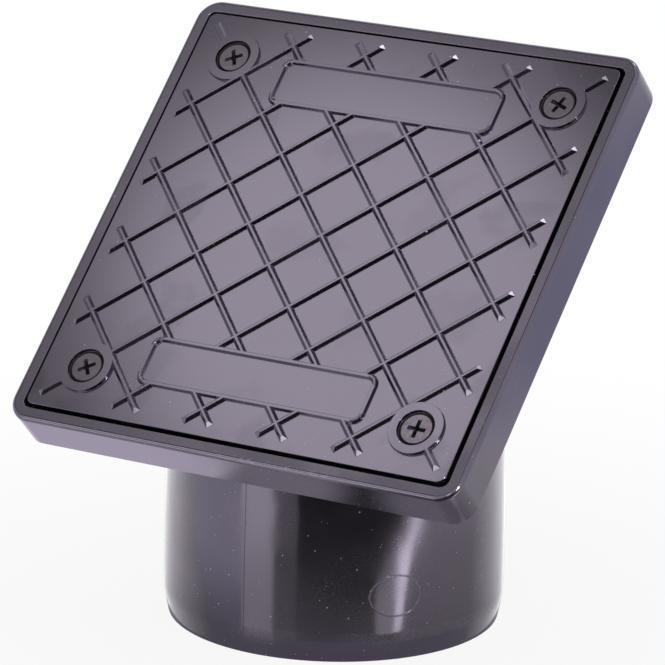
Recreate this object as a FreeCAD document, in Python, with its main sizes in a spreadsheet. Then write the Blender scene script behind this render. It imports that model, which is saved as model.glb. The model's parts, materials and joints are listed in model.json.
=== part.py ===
"""Rodding eye: a square screw-down access cover on an oblique 110 mm drain spigot.

Origin at the centre of the spigot's lower end, +Z up the spigot, and the frame tilts towards -Y.
The frame, cover, seal and screws are drawn flat, in the frame's own axes: x across the cover,
y up its slope, and z square to it, from zero on the frame's underside.
"""

import FreeCAD, Part
import math
import os

import Sketcher

# Driving dimensions: alias, value in millimetres or degrees, and what it is
DIMENSIONS = [
    ("tilt", 45.0, "angle between the frame and the horizontal"),
    ("axis_height", 115.0, "spigot end to the frame's underside, on the spigot's axis"),
    ("spigot_diameter", 110.0, "outside of the spigot"),
    ("spigot_wall", 3.2, "wall of the spigot"),
    ("spigot_fit_length", 34.0, "spigot end to the end of the full-diameter stretch"),
    ("root_diameter", 109.0, "outside of the spigot above its taper"),
    ("root_taper_length", 20.0, "taper from the full diameter to the root"),
    ("chamfer_length", 8.0, "lead-in chamfer along the spigot"),
    ("chamfer_depth", 1.6, "lead-in chamfer across the spigot's wall"),
    ("frame_size", 164.0, "outside of the square frame"),
    ("frame_depth", 15.3, "underside to the top of the rim"),
    ("frame_corner_radius", 7.8, "outer corners of the frame"),
    ("rim_edge_radius", 1.5, "rounding along the rim's outer edge"),
    ("rim_wall", 4.65, "rim beside the cover"),
    ("floor_thickness", 3.5, "floor of the frame"),
    ("ledge_width", 4.5, "ledge that carries the seal"),
    ("inner_corner_radius", 2.6, "corners of the opening in the rim"),
    ("seal_thickness", 2.0, "seal under the cover"),
    ("seal_width", 2.6, "seal across the ledge"),
    ("seal_inset", 0.4, "cover's edge to the seal's edge"),
    ("cover_gap", 1.1, "clearance between cover and rim"),
    ("cover_rise", 0.7, "top of the rim to the top of the cover"),
    ("cover_thickness", 4.0, "cover without its ribs"),
    ("cover_edge_bevel", 0.15, "bevel along the cover's top edge"),
    ("lip_clearance", 1.2, "clearance between the cover's lip and the ledge"),
    ("lip_wall", 2.2, "locating lip and stiffeners under the cover"),
    ("lip_depth", 3.5, "depth of the lip and the stiffeners"),
    ("rib_pitch", 27.0, "diamond ribs, measured across the cover"),
    ("rib_height", 1.05, "ribs, rings and label frames above the cover"),
    ("rib_width", 2.5, "foot of a diamond rib"),
    ("rib_top_width", 0.7, "crest of a diamond rib"),
    ("rib_inset", 3.8, "cover's edge to the ends of the ribs"),
    ("label_inset", 22.5, "cover's edge to the middle of a label frame"),
    ("label_length", 82.9, "outside of a label frame along the cover"),
    ("label_height", 18.1, "outside of a label frame up the slope"),
    ("label_corner_radius", 4.0, "outer corners of a label frame"),
    ("label_rib_width", 2.0, "foot of a label frame's rib"),
    ("label_rib_draft", 26.0, "slope of a label frame's walls"),
    ("screw_inset", 16.0, "cover's edge to a screw's axis"),
    ("ring_diameter", 18.5, "foot of the raised ring round a screw"),
    ("ring_draft", 10.0, "slope of the ring's wall"),
    ("well_diameter", 12.4, "well that the screw's head sits in"),
    ("well_floor_drop", 0.5, "screw's face to the floor of the well"),
    ("head_sink", 0.8, "top of the ring to the screw's face"),
    ("head_diameter", 11.0, "countersunk head"),
    ("head_rim", 0.4, "straight edge of the head"),
    ("shank_diameter", 4.8, "screw over its thread"),
    ("screw_length", 14.0, "screw's face to its blunt end"),
    ("recess_span", 6.2, "cross recess over its arms"),
    ("recess_arm", 1.3, "width of a recess arm"),
    ("recess_depth", 1.8, "depth of the cross recess"),
    ("screw_clearance", 0.2, "gap all round a screw in its holes"),
    ("boss_diameter", 10.0, "boss that takes a screw"),
    ("boss_gap", 0.2, "top of a boss to the cover"),
    ("web_thickness", 2.5, "webs from a boss to the walls"),
    ("web_clearance", 0.8, "top of a web to the cover's lip"),
]

# Diamond ribs run on each side of the middle one, in both directions
RIBS_EACH_SIDE = 4
SCREW_CORNERS = {"upper_left": (-1, 1), "upper_right": (1, 1), "lower_left": (-1, -1), "lower_right": (1, -1)}
# Cutting tools reach this many frame sizes past what they cut
TOOL_REACH = 2

# Sizes worked out from the driving dimensions, as expressions on the sheet
OPENING = "(Dims.frame_size - 2 * Dims.rim_wall)"
COVER = f"({OPENING} - 2 * Dims.cover_gap)"
CAVITY = f"({OPENING} - 2 * Dims.ledge_width)"
LIP = f"({CAVITY} - 2 * Dims.lip_clearance)"
SEAL = f"({COVER} - 2 * Dims.seal_inset)"
COVER_TOP = "(Dims.frame_depth + Dims.cover_rise)"
COVER_FOOT = f"({COVER_TOP} - Dims.cover_thickness)"
LEDGE = f"({COVER_FOOT} - Dims.seal_thickness)"
RIB_FIELD = f"({COVER} - 2 * Dims.rib_inset)"
LABEL_PLACE = f"({COVER} / 2 - Dims.label_inset)"
SCREW_PLACE = f"({COVER} / 2 - Dims.screw_inset)"
SCREW_FACE = f"({COVER_TOP} + Dims.rib_height - Dims.head_sink)"
BOSS_TOP = f"({COVER_FOOT} - Dims.boss_gap)"
WEB_TOP = f"({COVER_FOOT} - Dims.lip_depth - Dims.web_clearance)"
HEAD_CONE = "((Dims.head_diameter - Dims.shank_diameter) / 2)"
HOLE_RADIUS = "(Dims.shank_diameter / 2 + Dims.screw_clearance)"
REACH = f"({TOOL_REACH} * Dims.frame_size)"

doc = FreeCAD.newDocument("rodding_eye")
sheet = doc.addObject("Spreadsheet::Sheet", "Dims")


def fill_sheet():
    """Writes each driving dimension to a row of the sheet: its name, its value and what it is."""
    for row, (alias, value, meaning) in enumerate(DIMENSIONS, start=1):
        sheet.set(f"A{row}", alias)
        sheet.set(f"B{row}", str(value))
        sheet.set(f"C{row}", meaning)
        sheet.setAlias(f"B{row}", alias)
    doc.recompute()


def size(expression):
    """The present value of an expression on the sheet."""
    return float(sheet.evalExpression(expression))


def bind(thing, **expressions):
    """Ties properties of an object to expressions; a double underscore stands for a dot."""
    for name, expression in expressions.items():
        thing.setExpression(name.replace("__", "."), expression)


def lay_on_frame(thing, x="0", y="0", z="0"):
    """Tilts a flat-drawn object into place, with its origin at x, y and z in the frame's own axes."""
    thing.Placement = FreeCAD.Placement(FreeCAD.Vector(), FreeCAD.Rotation(FreeCAD.Vector(1, 0, 0), 1.0))
    bind(thing, Placement__Rotation__Angle="Dims.tilt", Placement__Base__x=x,
         Placement__Base__y=f"{y} * cos(Dims.tilt) - {z} * sin(Dims.tilt)",
         Placement__Base__z=f"Dims.axis_height + {y} * sin(Dims.tilt) + {z} * cos(Dims.tilt)")


def new_body(name):
    return doc.addObject("PartDesign::Body", name)


def new_sketch(body, name, height="0", up_slope="0", plane="XY_Plane"):
    """A sketch on one of the body's own planes, lifted to a height and moved up the slope."""
    sketch = body.newObject("Sketcher::SketchObject", name)
    planes = {feature.Role: feature for feature in body.Origin.OriginFeatures}
    sketch.AttachmentSupport = [(planes[plane], "")]
    sketch.MapMode = "FlatFace"
    bind(sketch, AttachmentOffset__Base__z=height, AttachmentOffset__Base__y=up_slope)
    return sketch


def hold(sketch, expression, *constraint):
    """Adds a constraint whose value follows an expression."""
    index = sketch.addConstraint(Sketcher.Constraint(*constraint, size(expression)))
    sketch.setExpression(f"Constraints[{index}]", expression)


def draw_rounded(sketch, width, height, radius):
    """A rounded rectangle round the sketch's origin, from expressions for its sizes."""
    half_w = size(width) / 2
    half_h = size(height) / 2
    r = size(radius)
    corners = [(1, -1), (1, 1), (-1, 1), (-1, -1)]
    ends = [(-half_w + r, -half_h, half_w - r, -half_h), (half_w, -half_h + r, half_w, half_h - r),
            (half_w - r, half_h, -half_w + r, half_h), (-half_w, half_h - r, -half_w, -half_h + r)]
    lines = []
    arcs = []
    for turn, ((side_x, side_y), (x1, y1, x2, y2)) in enumerate(zip(corners, ends)):
        start = FreeCAD.Vector(x1, y1, 0)
        stop = FreeCAD.Vector(x2, y2, 0)
        lines.append(sketch.addGeometry(Part.LineSegment(start, stop)))
        centre = FreeCAD.Vector(side_x * (half_w - r), side_y * (half_h - r), 0)
        circle = Part.Circle(centre, FreeCAD.Vector(0, 0, 1), r)
        first = (turn - 1) * math.pi / 2
        arcs.append(sketch.addGeometry(Part.ArcOfCircle(circle, first, first + math.pi / 2)))
    for turn in range(4):
        sketch.addConstraint(Sketcher.Constraint("Tangent", lines[turn], 2, arcs[turn], 1))
        sketch.addConstraint(Sketcher.Constraint("Tangent", arcs[turn], 2, lines[(turn + 1) % 4], 1))
        sketch.addConstraint(Sketcher.Constraint(("Horizontal", "Vertical")[turn % 2], lines[turn]))
    for arc in arcs[1:]:
        sketch.addConstraint(Sketcher.Constraint("Equal", arcs[0], arc))
    sketch.addConstraint(Sketcher.Constraint("Symmetric", arcs[0], 3, arcs[2], 3, -1, 1))
    hold(sketch, radius, "Radius", arcs[0])
    hold(sketch, width, "DistanceX", lines[3], 1, lines[1], 1)
    hold(sketch, height, "DistanceY", lines[0], 1, lines[2], 1)


def draw_circle(sketch, x, y, diameter):
    """A circle whose centre and diameter follow expressions."""
    centre = FreeCAD.Vector(size(x), size(y), 0)
    circle = sketch.addGeometry(Part.Circle(centre, FreeCAD.Vector(0, 0, 1), size(diameter) / 2))
    hold(sketch, diameter, "Diameter", circle)
    hold(sketch, x, "DistanceX", -1, 1, circle, 3)
    hold(sketch, y, "DistanceY", -1, 1, circle, 3)


def draw_polygon(sketch, corners):
    """A closed outline of straight lines through corners given as pairs of expressions."""
    places = [FreeCAD.Vector(size(x), size(y), 0) for x, y in corners]
    sides = []
    for index, place in enumerate(places):
        sides.append(sketch.addGeometry(Part.LineSegment(place, places[(index + 1) % len(places)])))
    for index, side in enumerate(sides):
        sketch.addConstraint(Sketcher.Constraint("Coincident", side, 2, sides[(index + 1) % len(sides)], 1))
    for side, (x, y) in zip(sides, corners):
        hold(sketch, x, "DistanceX", -1, 1, side, 1)
        hold(sketch, y, "DistanceY", -1, 1, side, 1)


def draw_rectangle(sketch, x1, y1, x2, y2):
    draw_polygon(sketch, [(x1, y1), (x2, y1), (x2, y2), (x1, y2)])


def pad(body, sketch, length, down=False, draft="0"):
    """Raises a sketch; a positive draft narrows it as it rises."""
    feature = body.newObject("PartDesign::Pad", sketch.Name + "Pad")
    feature.Profile = sketch
    feature.Reversed = down
    bind(feature, Length=length, TaperAngle=f"-1 * ({draft})")
    doc.recompute()
    return feature


def pocket(body, sketch, length, draft="0"):
    """Sinks a sketch into the body; a positive draft narrows it as it sinks."""
    feature = body.newObject("PartDesign::Pocket", sketch.Name + "Pocket")
    feature.Profile = sketch
    bind(feature, Length=length, TaperAngle=f"-1 * ({draft})")
    doc.recompute()
    return feature


def revolve(body, sketch):
    """Turns a sketch on the XZ plane right round the body's Z axis."""
    feature = body.newObject("PartDesign::Revolution", sketch.Name + "Turn")
    feature.Profile = sketch
    feature.ReferenceAxis = (sketch, ["V_Axis"])
    feature.Angle = 360.0
    doc.recompute()
    return feature


def ease_top_edge(body, block, kind, height, **amount):
    """Rounds or bevels the edges of a padded block that lie at a height."""
    level = size(height)
    box_error = 1e-4
    names = []
    for index, edge in enumerate(block.Shape.Edges, start=1):
        box = edge.BoundBox
        if abs(box.ZMin - level) < box_error and abs(box.ZMax - level) < box_error:
            names.append(f"Edge{index}")
    eased = body.newObject(kind, block.Name + "Edge")
    eased.Base = (block, names)
    bind(eased, **amount)
    doc.recompute()
    return eased


def repeat_at_corners(body, features):
    """Repeats features at the other three corners of the square."""
    pattern = body.newObject("PartDesign::PolarPattern", features[-1].Name + "Corners")
    pattern.Originals = features
    pattern.Axis = (features[0].Profile[0], ["N_Axis"])
    pattern.Angle = 360.0
    pattern.Occurrences = len(SCREW_CORNERS)
    body.Tip = pattern
    doc.recompute()
    return pattern


def combine(kind, name, base, *tools):
    """A boolean of document objects: Part::Cut, Part::Common or Part::MultiFuse."""
    result = doc.addObject(kind, name)
    if kind == "Part::MultiFuse":
        result.Shapes = [base, *tools]
    else:
        result.Base = base
        result.Tool = tools[0]
    doc.recompute()
    return result


def build_frame():
    """The square tray: rim, ledge, floor, and a webbed boss for each screw."""
    body = new_body("Frame")
    outline = new_sketch(body, "FrameOutline")
    draw_rounded(outline, "Dims.frame_size", "Dims.frame_size", "Dims.frame_corner_radius")
    block = pad(body, outline, "Dims.frame_depth")
    ease_top_edge(body, block, "PartDesign::Fillet", "Dims.frame_depth", Radius="Dims.rim_edge_radius")

    recess = new_sketch(body, "CoverRecess", "Dims.frame_depth")
    draw_rounded(recess, OPENING, OPENING, "Dims.inner_corner_radius")
    pocket(body, recess, f"Dims.frame_depth - {LEDGE}")

    cavity = new_sketch(body, "Cavity", LEDGE)
    draw_rounded(cavity, CAVITY, CAVITY, "Dims.inner_corner_radius")
    pocket(body, cavity, f"{LEDGE} - Dims.floor_thickness")

    half_web = "Dims.web_thickness / 2"
    wall = f"{CAVITY} / 2"
    boss = new_sketch(body, "Boss", "Dims.floor_thickness")
    draw_circle(boss, SCREW_PLACE, SCREW_PLACE, "Dims.boss_diameter")
    boss_pad = pad(body, boss, f"{BOSS_TOP} - Dims.floor_thickness")
    across = new_sketch(body, "WebAcross", "Dims.floor_thickness")
    draw_rectangle(across, SCREW_PLACE, f"{SCREW_PLACE} - {half_web}", wall, f"{SCREW_PLACE} + {half_web}")
    across_pad = pad(body, across, f"{WEB_TOP} - Dims.floor_thickness")
    up = new_sketch(body, "WebUp", "Dims.floor_thickness")
    draw_rectangle(up, f"{SCREW_PLACE} - {half_web}", SCREW_PLACE, f"{SCREW_PLACE} + {half_web}", wall)
    up_pad = pad(body, up, f"{WEB_TOP} - Dims.floor_thickness")
    repeat_at_corners(body, [boss_pad, across_pad, up_pad])

    pilot = new_sketch(body, "Pilot", BOSS_TOP)
    draw_circle(pilot, SCREW_PLACE, SCREW_PLACE, f"2 * {HOLE_RADIUS}")
    depth = f"{BOSS_TOP} - {SCREW_FACE} + Dims.screw_length + 2 * Dims.screw_clearance"
    pilot_pocket = pocket(body, pilot, depth)
    repeat_at_corners(body, [pilot_pocket])
    lay_on_frame(body)
    return body


def build_spigot():
    """The spigot as a solid round bar: lead-in chamfer, full-diameter stretch, taper and root."""
    body = new_body("Spigot")
    radius = "Dims.spigot_diameter / 2"
    root = "Dims.root_diameter / 2"
    top = f"Dims.axis_height + {REACH}"
    profile = new_sketch(body, "SpigotProfile", plane="XZ_Plane")
    draw_polygon(profile, [
        ("0", "0"),
        (f"{radius} - Dims.chamfer_depth", "0"),
        (radius, "Dims.chamfer_length"),
        (radius, "Dims.spigot_fit_length"),
        (root, "Dims.spigot_fit_length + Dims.root_taper_length"),
        (root, top),
        ("0", top),
    ])
    revolve(body, profile)
    return body


def build_body():
    """Frame and spigot as one moulding, with the bore open from the spigot's end into the tray."""
    frame = build_frame()
    spigot = build_spigot()

    below_floor = doc.addObject("Part::Box", "BelowFloorTop")
    bind(below_floor, Length=f"2 * {REACH}", Width=f"2 * {REACH}", Height=REACH)
    lay_on_frame(below_floor, f"-1 * {REACH}", f"-1 * {REACH}", f"(Dims.floor_thickness - {REACH})")

    bore = doc.addObject("Part::Cylinder", "BoreBar")
    bind(bore, Radius="Dims.spigot_diameter / 2 - Dims.spigot_wall", Height=f"Dims.axis_height + {REACH}")

    stem = combine("Part::Common", "Stem", spigot, below_floor)
    bore_core = combine("Part::Common", "BoreCore", bore, below_floor)
    moulding = combine("Part::MultiFuse", "Moulding", frame, stem)
    body = combine("Part::Cut", "BodyMoulding", moulding, bore_core)
    body.Label = "body"
    return body


def build_cover_plate():
    """The flat plate with its rounded edge, and the lip and stiffeners under it."""
    body = new_body("CoverPlate")
    outline = new_sketch(body, "CoverOutline", COVER_FOOT)
    draw_rounded(outline, COVER, COVER, "Dims.inner_corner_radius")
    block = pad(body, outline, "Dims.cover_thickness")
    ease_top_edge(body, block, "PartDesign::Chamfer", COVER_TOP, Size="Dims.cover_edge_bevel")

    lip = new_sketch(body, "Lip", COVER_FOOT)
    draw_rounded(lip, LIP, LIP, "Dims.inner_corner_radius")
    inside = f"{LIP} - 2 * Dims.lip_wall"
    draw_rounded(lip, inside, inside, "Dims.inner_corner_radius / 2")
    pad(body, lip, "Dims.lip_depth", down=True)

    half_long = f"({LIP} - Dims.lip_wall) / 2"
    half_wall = "Dims.lip_wall / 2"
    for name, half_x, half_y in (("StiffenerAcross", half_long, half_wall), ("StiffenerUp", half_wall, half_long)):
        stiffener = new_sketch(body, name, COVER_FOOT)
        draw_rectangle(stiffener, f"-1 * {half_x}", f"-1 * {half_y}", half_x, half_y)
        pad(body, stiffener, "Dims.lip_depth", down=True)
    return body


def build_ribs():
    """The raised diamond lattice: wedges with sloping walls and ends, all ending on one square."""
    ribs = []
    slope = "(Dims.rib_width - Dims.rib_top_width) / 2"
    for lean in (1, -1):
        for step in range(-RIBS_EACH_SIDE, RIBS_EACH_SIDE + 1):
            length = f"(({RIB_FIELD} - {abs(step)} * Dims.rib_pitch) * sqrt(2))"
            rib = doc.addObject("Part::Wedge", "Rib")
            bind(rib, Xmin=f"-1 * {length} / 2", Xmax=f"{length} / 2", X2min=f"{slope} - {length} / 2",
                 X2max=f"{length} / 2 - {slope}")
            bind(rib, Zmin="-1 * Dims.rib_width / 2", Zmax="Dims.rib_width / 2",
                 Z2min="-1 * Dims.rib_top_width / 2", Z2max="Dims.rib_top_width / 2")
            bind(rib, Ymin="0", Ymax="Dims.rib_height")
            stand = FreeCAD.Rotation(FreeCAD.Vector(1, 0, 0), 90)
            swing = FreeCAD.Rotation(FreeCAD.Vector(0, 0, 1), 45 * lean)
            rib.Placement = FreeCAD.Placement(FreeCAD.Vector(), swing * stand)
            bind(rib, Placement__Base__x=f"{step} * Dims.rib_pitch / 2",
                 Placement__Base__y=f"{-step * lean} * Dims.rib_pitch / 2", Placement__Base__z=COVER_TOP)
            ribs.append(rib)
    return combine("Part::MultiFuse", "Ribs", *ribs)


def build_label_frame(name, side):
    """A raised rounded frame round a bare label, and the plain window that clears the ribs inside it."""
    up_slope = f"{side} * {LABEL_PLACE}"
    body = new_body(name)
    outer = new_sketch(body, name + "Outer", COVER_TOP, up_slope)
    draw_rounded(outer, "Dims.label_length", "Dims.label_height", "Dims.label_corner_radius")
    pad(body, outer, "Dims.rib_height", draft="Dims.label_rib_draft")

    crest = "2 * (Dims.label_rib_width - Dims.rib_height * tan(Dims.label_rib_draft))"
    corner = "Dims.label_corner_radius - Dims.label_rib_width + Dims.rib_height * tan(Dims.label_rib_draft)"
    inner = new_sketch(body, name + "Inner", f"{COVER_TOP} + Dims.rib_height", up_slope)
    draw_rounded(inner, f"Dims.label_length - {crest}", f"Dims.label_height - {crest}", corner)
    pocket(body, inner, "Dims.rib_height", draft="Dims.label_rib_draft")

    window = new_body(name + "Window")
    outline = new_sketch(window, name + "WindowOutline", COVER_TOP, up_slope)
    inset = "Dims.label_rib_width"
    draw_rounded(outline, f"Dims.label_length - {inset}", f"Dims.label_height - {inset}",
                 f"Dims.label_corner_radius - {inset} / 2")
    pad(window, outline, "2 * Dims.rib_height")
    return body, window


def build_ring(corner, side_x, side_y):
    """The raised ring round one screw hole, before its well is cut."""
    ring = doc.addObject("Part::Cone", "Ring_" + corner)
    bind(ring, Radius1="Dims.ring_diameter / 2", Height="Dims.rib_height",
         Radius2="Dims.ring_diameter / 2 - Dims.rib_height * tan(Dims.ring_draft)")
    bind(ring, Placement__Base__x=f"{side_x} * {SCREW_PLACE}", Placement__Base__y=f"{side_y} * {SCREW_PLACE}",
         Placement__Base__z=COVER_TOP)
    return ring


def build_hole(corner, side_x, side_y):
    """The stepped cutter of one screw hole: well, countersink and clearance hole."""
    body = new_body("Hole_" + corner)
    sink_floor = f"({SCREW_FACE} - Dims.well_floor_drop)"
    sink_radius = "(Dims.head_diameter / 2 + Dims.screw_clearance + Dims.head_rim - Dims.well_floor_drop)"
    narrow = f"({sink_floor} - {sink_radius} + {HOLE_RADIUS})"
    top = f"({COVER_TOP} + 2 * Dims.rib_height)"
    bottom = f"({COVER_FOOT} - Dims.cover_thickness)"
    profile = new_sketch(body, "HoleProfile_" + corner, plane="XZ_Plane")
    draw_polygon(profile, [
        ("0", bottom),
        (HOLE_RADIUS, bottom),
        (HOLE_RADIUS, narrow),
        (sink_radius, sink_floor),
        ("Dims.well_diameter / 2", sink_floor),
        ("Dims.well_diameter / 2", top),
        ("0", top),
    ])
    revolve(body, profile)
    bind(body, Placement__Base__x=f"{side_x} * {SCREW_PLACE}", Placement__Base__y=f"{side_y} * {SCREW_PLACE}")
    return body


def build_cover():
    """The cover as one moulding: plate, ribs, label frames and rings, with its screw holes cut."""
    plate = build_cover_plate()
    ribs = build_ribs()
    frames, windows = zip(build_label_frame("UpperLabel", 1), build_label_frame("LowerLabel", -1))
    rings = [build_ring(corner, *sides) for corner, sides in SCREW_CORNERS.items()]
    holes = [build_hole(corner, *sides) for corner, sides in SCREW_CORNERS.items()]

    clearing = combine("Part::MultiFuse", "LabelWindows", *windows)
    trimmed = combine("Part::Cut", "TrimmedRibs", ribs, clearing)
    blank = combine("Part::MultiFuse", "CoverBlank", plate, trimmed, *frames, *rings)
    cutters = combine("Part::MultiFuse", "ScrewHoles", *holes)
    cover = combine("Part::Cut", "CoverMoulding", blank, cutters)
    lay_on_frame(cover)
    cover.Label = "cover"
    return cover


def build_seal():
    """The square rubber seal between the ledge and the cover."""
    body = new_body("Seal")
    outline = new_sketch(body, "SealOutline", LEDGE)
    draw_rounded(outline, SEAL, SEAL, "Dims.inner_corner_radius")
    inside = f"{SEAL} - 2 * Dims.seal_width"
    draw_rounded(outline, inside, inside, "Dims.inner_corner_radius / 2")
    pad(body, outline, "Dims.seal_thickness")
    lay_on_frame(body)
    body.Label = "cover_seal"
    return body


def build_screw(corner, side_x, side_y):
    """One blunt-ended countersunk screw with a cross recess, over the crests of its thread."""
    body = new_body("Screw_" + corner)
    head_foot = f"({SCREW_FACE} - Dims.head_rim - {HEAD_CONE})"
    end = f"({SCREW_FACE} - Dims.screw_length)"
    shank = "Dims.shank_diameter / 2"
    profile = new_sketch(body, "ScrewProfile_" + corner, plane="XZ_Plane")
    draw_polygon(profile, [
        ("0", end),
        (shank, end),
        (shank, head_foot),
        ("Dims.head_diameter / 2", f"{SCREW_FACE} - Dims.head_rim"),
        ("Dims.head_diameter / 2", SCREW_FACE),
        ("0", SCREW_FACE),
    ])
    revolve(body, profile)

    long_half = "Dims.recess_span / 2"
    wide_half = "Dims.recess_arm / 2"
    recess = new_sketch(body, "Recess_" + corner, SCREW_FACE)
    quarter = [(long_half, wide_half), (wide_half, wide_half), (wide_half, long_half)]
    outline = []
    for sign_x, sign_y, order in ((1, 1, 1), (-1, 1, -1), (-1, -1, 1), (1, -1, -1)):
        outline += [(f"{sign_x} * {x}", f"{sign_y} * {y}") for x, y in quarter[::order]]
    draw_polygon(recess, outline)
    pocket(body, recess, "Dims.recess_depth")

    lay_on_frame(body, f"{side_x} * {SCREW_PLACE}", f"{side_y} * {SCREW_PLACE}")
    body.Label = "cover_screw_" + corner
    return body


def check(sub_parts):
    """Stops if any object failed to build, or a sub-part has no sound solid."""
    for thing in doc.Objects:
        if "Invalid" in thing.State or "Error" in thing.State:
            raise RuntimeError(f"{thing.Name} failed: {thing.State}")
    for sub_part in sub_parts:
        shape = sub_part.Shape
        if shape.isNull() or not shape.isValid() or len(shape.Solids) != 1:
            raise RuntimeError(f"{sub_part.Label} isn't one sound solid")


fill_sheet()
sub_parts = [build_body(), build_cover(), build_seal()]
sub_parts += [build_screw(corner, *sides) for corner, sides in SCREW_CORNERS.items()]
doc.recompute()
check(sub_parts)

os.makedirs("parts", exist_ok=True)
for sub_part in sub_parts:
    sub_part.Shape.exportStep(f"parts/{sub_part.Label}.step")
    print(f"{sub_part.Label}: {sub_part.Shape.Volume / 1000:.2f} cm3, {len(sub_part.Shape.Faces)} faces")
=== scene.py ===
"""Looks of a rodding eye: a screwed-down square cover in a tilted frame on a drain spigot.

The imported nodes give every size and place. The mouldings and the seal are copies of their nodes with
rounded edges, the screws are modelled afresh on their axes, and the spigot gets its mould marks.
"""

import json
import logging
import math
from collections.abc import Callable
from dataclasses import dataclass, field
from enum import Enum

import bmesh
import bpy
from mathutils import Matrix, Vector
from mathutils.bvhtree import BVHTree


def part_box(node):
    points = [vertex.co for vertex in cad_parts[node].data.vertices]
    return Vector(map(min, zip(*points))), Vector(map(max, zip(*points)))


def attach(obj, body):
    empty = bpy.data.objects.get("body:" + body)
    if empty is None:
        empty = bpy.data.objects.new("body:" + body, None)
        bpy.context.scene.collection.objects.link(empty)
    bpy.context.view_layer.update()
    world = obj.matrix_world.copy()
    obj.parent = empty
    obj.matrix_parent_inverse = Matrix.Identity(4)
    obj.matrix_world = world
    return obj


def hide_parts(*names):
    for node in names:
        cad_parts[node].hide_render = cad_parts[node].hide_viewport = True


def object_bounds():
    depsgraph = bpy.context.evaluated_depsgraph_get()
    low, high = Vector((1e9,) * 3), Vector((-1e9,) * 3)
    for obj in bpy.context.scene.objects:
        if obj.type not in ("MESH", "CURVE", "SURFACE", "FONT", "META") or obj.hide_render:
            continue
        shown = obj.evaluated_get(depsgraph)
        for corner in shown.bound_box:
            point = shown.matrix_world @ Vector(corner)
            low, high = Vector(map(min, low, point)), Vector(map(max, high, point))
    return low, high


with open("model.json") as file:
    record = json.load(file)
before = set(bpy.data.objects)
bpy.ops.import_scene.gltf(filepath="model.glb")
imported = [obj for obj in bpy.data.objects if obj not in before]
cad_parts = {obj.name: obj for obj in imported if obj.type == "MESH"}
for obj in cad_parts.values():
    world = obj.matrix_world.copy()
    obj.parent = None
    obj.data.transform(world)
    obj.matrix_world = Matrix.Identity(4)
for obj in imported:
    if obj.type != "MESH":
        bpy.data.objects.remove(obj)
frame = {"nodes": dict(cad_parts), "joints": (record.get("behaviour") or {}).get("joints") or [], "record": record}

Triple = tuple[float, float, float]
Pair = tuple[float, float]
Colour = Triple
Drawing = bmesh.types.BMesh
Edge = bmesh.types.BMEdge
Material = bpy.types.Material
Piece = bpy.types.Object
Socket = bpy.types.NodeSocket

CAD_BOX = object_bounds()
LOG = logging.getLogger("rodding_eye")
MM = 0.001

# Facets closer to one plane than this are one face
FLAT_ANGLE = math.radians(0.5)
# Edges that turn more than this are edges of the moulding, and less than this are facets of a curve
EDGE_ANGLE = math.radians(30)
WELD_DISTANCE = 0.001 * MM
# A face whose normal has more than this along an axis looks along it
FACING = 0.99
# Where Blender's bevel reads an edge's share of the radius
WEIGHT_LAYER = "bevel_weight_edge"
DOWN = (0.0, 0.0, -1.0)
# Places in a piece's list of materials, where 0 is its plain finish
EDGE_COAT = 1
LAND_COAT = 2
# The painted shade's place, a near-black finish for the wells and the screws' recesses and rims
PAINTED_SHADE_COAT = 1
# The Mix node's sockets for colours
MIX_COLOURS = slice(6, 8)
MIX_RESULT = 2


class Slot(str, Enum):
    """The record's material slots."""

    BODY = "body_plastic"
    COVER = "cover_plastic"
    SEAL = "seal_rubber"
    SCREW = "screw_steel"


class Corner(Enum):
    """The four screws, each with the turn of its recess against the cover's lower edge, in degrees."""

    UPPER_LEFT = 28.0
    UPPER_RIGHT = 71.0
    LOWER_LEFT = 34.0
    LOWER_RIGHT = 89.0

    @property
    def body(self) -> str:
        """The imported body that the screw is."""
        return "screw_" + self.name.lower()

    @property
    def node(self) -> str:
        """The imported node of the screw."""
        return "cover_screw_" + self.name.lower()


class Side(Enum):
    """Front and back of the spigot, as the sign of Y there."""

    FRONT = -1
    BACK = 1


@dataclass(frozen=True)
class CoverAxes:
    """The tilted axes of the frame and its cover.

    Attributes:
        across: along the cover's lower edge.
        up: up the cover's slope.
        out: square to the cover, the way it lifts.
    """

    across: Vector
    up: Vector
    out: Vector

    @classmethod
    def of_frame(cls) -> "CoverAxes":
        """Reads the axes from the joint that lifts the cover.

        Returns:
            The axes, as unit vectors.
        """
        lift = next(joint for joint in frame["joints"] if joint["child"] == "cover")
        out = Vector(lift["axis"]).normalized()
        across = Vector((1, 0, 0))
        return cls(across, out.cross(across), out)

    def span(self, node: str, axis: Vector) -> Pair:
        """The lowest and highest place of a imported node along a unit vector."""
        places = [vertex.co.dot(axis) for vertex in frame["nodes"][node].data.vertices]
        return min(places), max(places)

    def head(self, node: str) -> Vector:
        """The middle of a screw's face."""
        across, up, out = (self.span(node, axis) for axis in (self.across, self.up, self.out))
        return self.point(sum(across) / 2, sum(up) / 2, out[1])

    def rim(self) -> Pair:
        """Measures the flat top of the frame's rim.

        Returns:
            Its lower end up the slope and its place square to the cover.
        """
        points = [vertex.co for vertex in frame["nodes"]["body"].data.vertices]
        top = max(point.dot(self.out) for point in points)
        return min(point.dot(self.up) for point in points if point.dot(self.out) > top - WELD_DISTANCE), top

    def point(self, across: float, up: float, out: float) -> Vector:
        """A point of the row frame from its places along the three axes."""
        return self.across * across + self.up * up + self.out * out

    def matrix(self, origin: Vector) -> Matrix:
        """The matrix that carries flat-drawn points to an origin on the cover."""
        turn = Matrix((self.across, self.up, self.out)).transposed().to_4x4()
        return Matrix.Translation(origin) @ turn


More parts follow.
